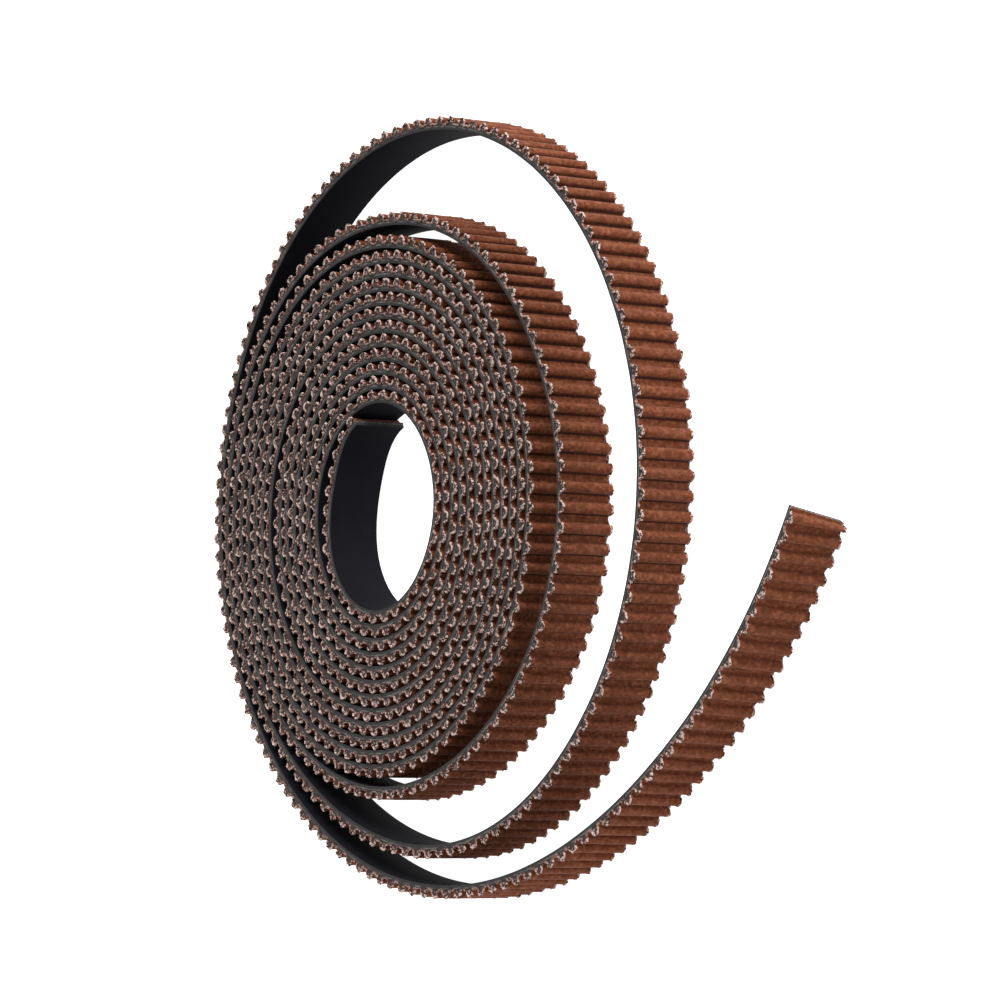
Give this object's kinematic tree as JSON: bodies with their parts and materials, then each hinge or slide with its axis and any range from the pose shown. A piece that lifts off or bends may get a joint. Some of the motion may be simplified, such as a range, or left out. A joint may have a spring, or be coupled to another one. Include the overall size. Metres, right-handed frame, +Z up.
{
  "type": "timing belt",
  "caption": "Open-ended fine-pitch toothed belt coiled into a flat roll, teeth outward, with two loose outer loops and a free springy tail.",
  "frame": {"origin": "middle of the bounding box's bottom face, on the surface that the coil lies on", "axes": "+Z is up, along the axis of the coil and across the belt's width; +X is the longest side, towards the free end of the tail; the belt winds outward anticlockwise seen from +Z"},
  "size_m": [0.1012, 0.0806, 0.0061],
  "materials": {
    "backing_rubber": "smooth moulded black rubber back, satin, slightly greyer where it is cut",
    "tensile_cord": "twisted glass-fibre cords, laid side by side along the belt",
    "tooth_rubber": "matt dark grey cut rubber",
    "tooth_facing": "matt russet nylon facing with a fine grain, frayed pale along its cut edges"
  },
  "bodies": {
    "coil_and_loops": {"coil_backing": "backing_rubber", "coil_cords": "tensile_cord", "coil_teeth": "tooth_rubber", "coil_facing": "tooth_facing", "inner_loop_backing": "backing_rubber", "inner_loop_cords": "tensile_cord", "inner_loop_teeth": "tooth_rubber", "inner_loop_facing": "tooth_facing", "outer_loop_backing": "backing_rubber", "outer_loop_cords": "tensile_cord", "outer_loop_teeth": "tooth_rubber", "outer_loop_facing": "tooth_facing"},
    "tail_1": {"tail_1_backing": "backing_rubber", "tail_1_cords": "tensile_cord", "tail_1_teeth": "tooth_rubber", "tail_1_facing": "tooth_facing"},
    "tail_2": {"tail_2_backing": "backing_rubber", "tail_2_cords": "tensile_cord", "tail_2_teeth": "tooth_rubber", "tail_2_facing": "tooth_facing"},
    "tail_3": {"tail_3_backing": "backing_rubber", "tail_3_cords": "tensile_cord", "tail_3_teeth": "tooth_rubber", "tail_3_facing": "tooth_facing"},
    "tail_4": {"tail_4_backing": "backing_rubber", "tail_4_cords": "tensile_cord", "tail_4_teeth": "tooth_rubber", "tail_4_facing": "tooth_facing"},
    "tail_5": {"tail_5_backing": "backing_rubber", "tail_5_cords": "tensile_cord", "tail_5_teeth": "tooth_rubber", "tail_5_facing": "tooth_facing"},
    "tail_6": {"tail_6_backing": "backing_rubber", "tail_6_cords": "tensile_cord", "tail_6_teeth": "tooth_rubber", "tail_6_facing": "tooth_facing"}
  },
  "joints": [
    {"name": "tail_bend_1", "type": "hinge", "parent": "coil_and_loops", "child": "tail_1", "pos_m": [-0.04631, -0.01472, 0.003], "axis": [0, 0, 1], "range_deg": [-25, 1], "stiffness_Nm_per_rad": 0.0015},
    {"name": "tail_bend_2", "type": "hinge", "parent": "tail_1", "child": "tail_2", "pos_m": [-0.03388, -0.03014, 0.003], "axis": [0, 0, 1], "range_deg": [-25, 1], "stiffness_Nm_per_rad": 0.0015},
    {"name": "tail_bend_3", "type": "hinge", "parent": "tail_2", "child": "tail_3", "pos_m": [-0.01585, -0.03838, 0.003], "axis": [0, 0, 1], "range_deg": [-25, 1], "stiffness_Nm_per_rad": 0.0015},
    {"name": "tail_bend_4", "type": "hinge", "parent": "tail_3", "child": "tail_4", "pos_m": [0.00401, -0.03819, 0.003], "axis": [0, 0, 1], "range_deg": [-25, 1], "stiffness_Nm_per_rad": 0.0015},
    {"name": "tail_bend_5", "type": "hinge", "parent": "tail_4", "child": "tail_5", "pos_m": [0.02252, -0.03085, 0.003], "axis": [0, 0, 1], "range_deg": [-25, 1], "stiffness_Nm_per_rad": 0.0015},
    {"name": "tail_bend_6", "type": "hinge", "parent": "tail_5", "child": "tail_6", "pos_m": [0.03823, -0.01857, 0.003], "axis": [0, 0, 1], "range_deg": [-25, 1], "stiffness_Nm_per_rad": 0.0015}
  ]
}
